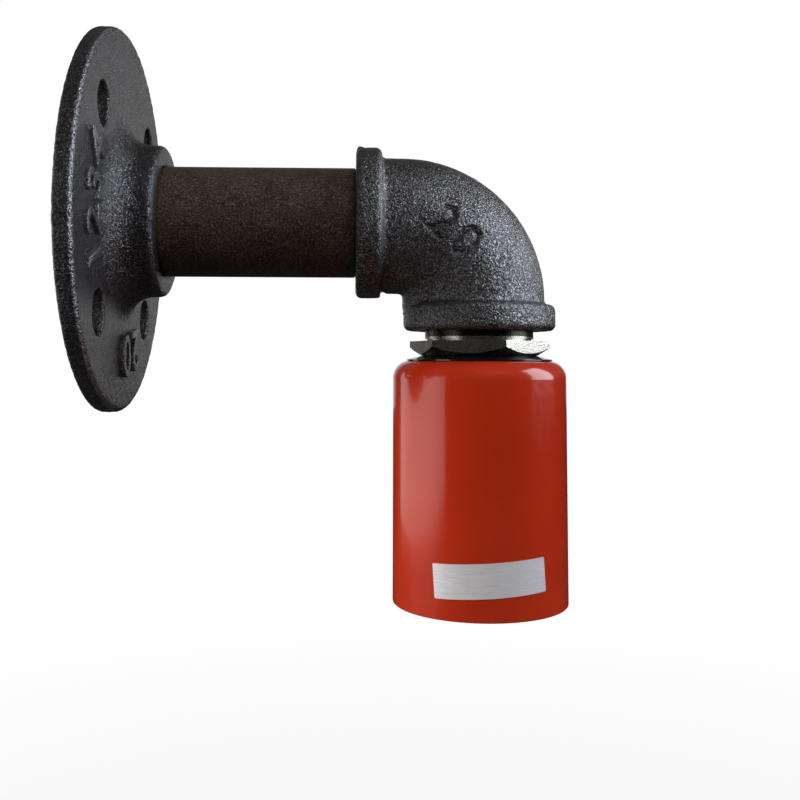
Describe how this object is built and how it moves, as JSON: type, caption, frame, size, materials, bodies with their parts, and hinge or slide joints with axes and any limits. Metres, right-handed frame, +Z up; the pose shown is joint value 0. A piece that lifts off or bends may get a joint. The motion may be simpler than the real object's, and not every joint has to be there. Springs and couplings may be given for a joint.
{
  "type": "industrial pipe wall light",
  "caption": "Wall light of black pipe fittings: round screw-down flange, short pipe, banded elbow and an orange cup with a screw lamp socket hanging below.",
  "frame": {"origin": "centre of the flange's back face, where the pipe's axis meets the wall", "axes": "+X out of the wall along the pipe, +Z up, so the lamp socket hangs to -Z"},
  "size_m": [0.1116, 0.0926, 0.1373],
  "materials": {
    "cast_black": "rough black casting",
    "tube_steel": "dark mill finish",
    "plated_zinc": "zinc plated",
    "plain_steel": "bright steel",
    "black_gloss": "glossy black",
    "orange_paint": "glossy orange red",
    "foil": "brushed foil",
    "ceramic_white": "glazed",
    "brass": "bright",
    "brown_lead": "smooth",
    "blue_lead": "smooth",
    "green_lead": "smooth"
  },
  "bodies": {
    "wall_side": {"wall_flange": "cast_black", "pipe_nipple": "tube_steel"},
    "lamp_side": {"elbow": "cast_black", "hex_bush": "plated_zinc", "threaded_tube": "plated_zinc", "spacer_cap": "black_gloss", "holder_cup": "orange_paint", "rating_label": "foil", "earth_tag": "brass", "earth_screw": "plain_steel", "lock_washer": "plain_steel", "lock_nut": "plated_zinc", "socket_bracket": "plain_steel", "bracket_screws": "plain_steel", "socket_body": "ceramic_white", "screw_shell": "brass", "live_rivet": "brass", "neutral_rivet": "brass", "live_terminal": "brass", "neutral_terminal": "brass", "terminal_screws": "plain_steel", "live_wire": "brown_lead", "neutral_wire": "blue_lead", "earth_wire": "green_lead"},
    "contact_leaf": {"centre_contact": "brass"}
  },
  "joints": [
    {"name": "elbow_swivel", "type": "hinge", "parent": "wall_side", "child": "lamp_side", "pos_m": [0.0604, 0, 0], "axis": [1, 0, 0], "range_deg": [-180, 180]},
    {"name": "contact_flex", "type": "hinge", "parent": "lamp_side", "child": "contact_leaf", "pos_m": [0.0997, 0, -0.0641], "axis": [0, 1, 0], "range_deg": [0, 7], "stiffness_Nm_per_rad": 0.2}
  ]
}
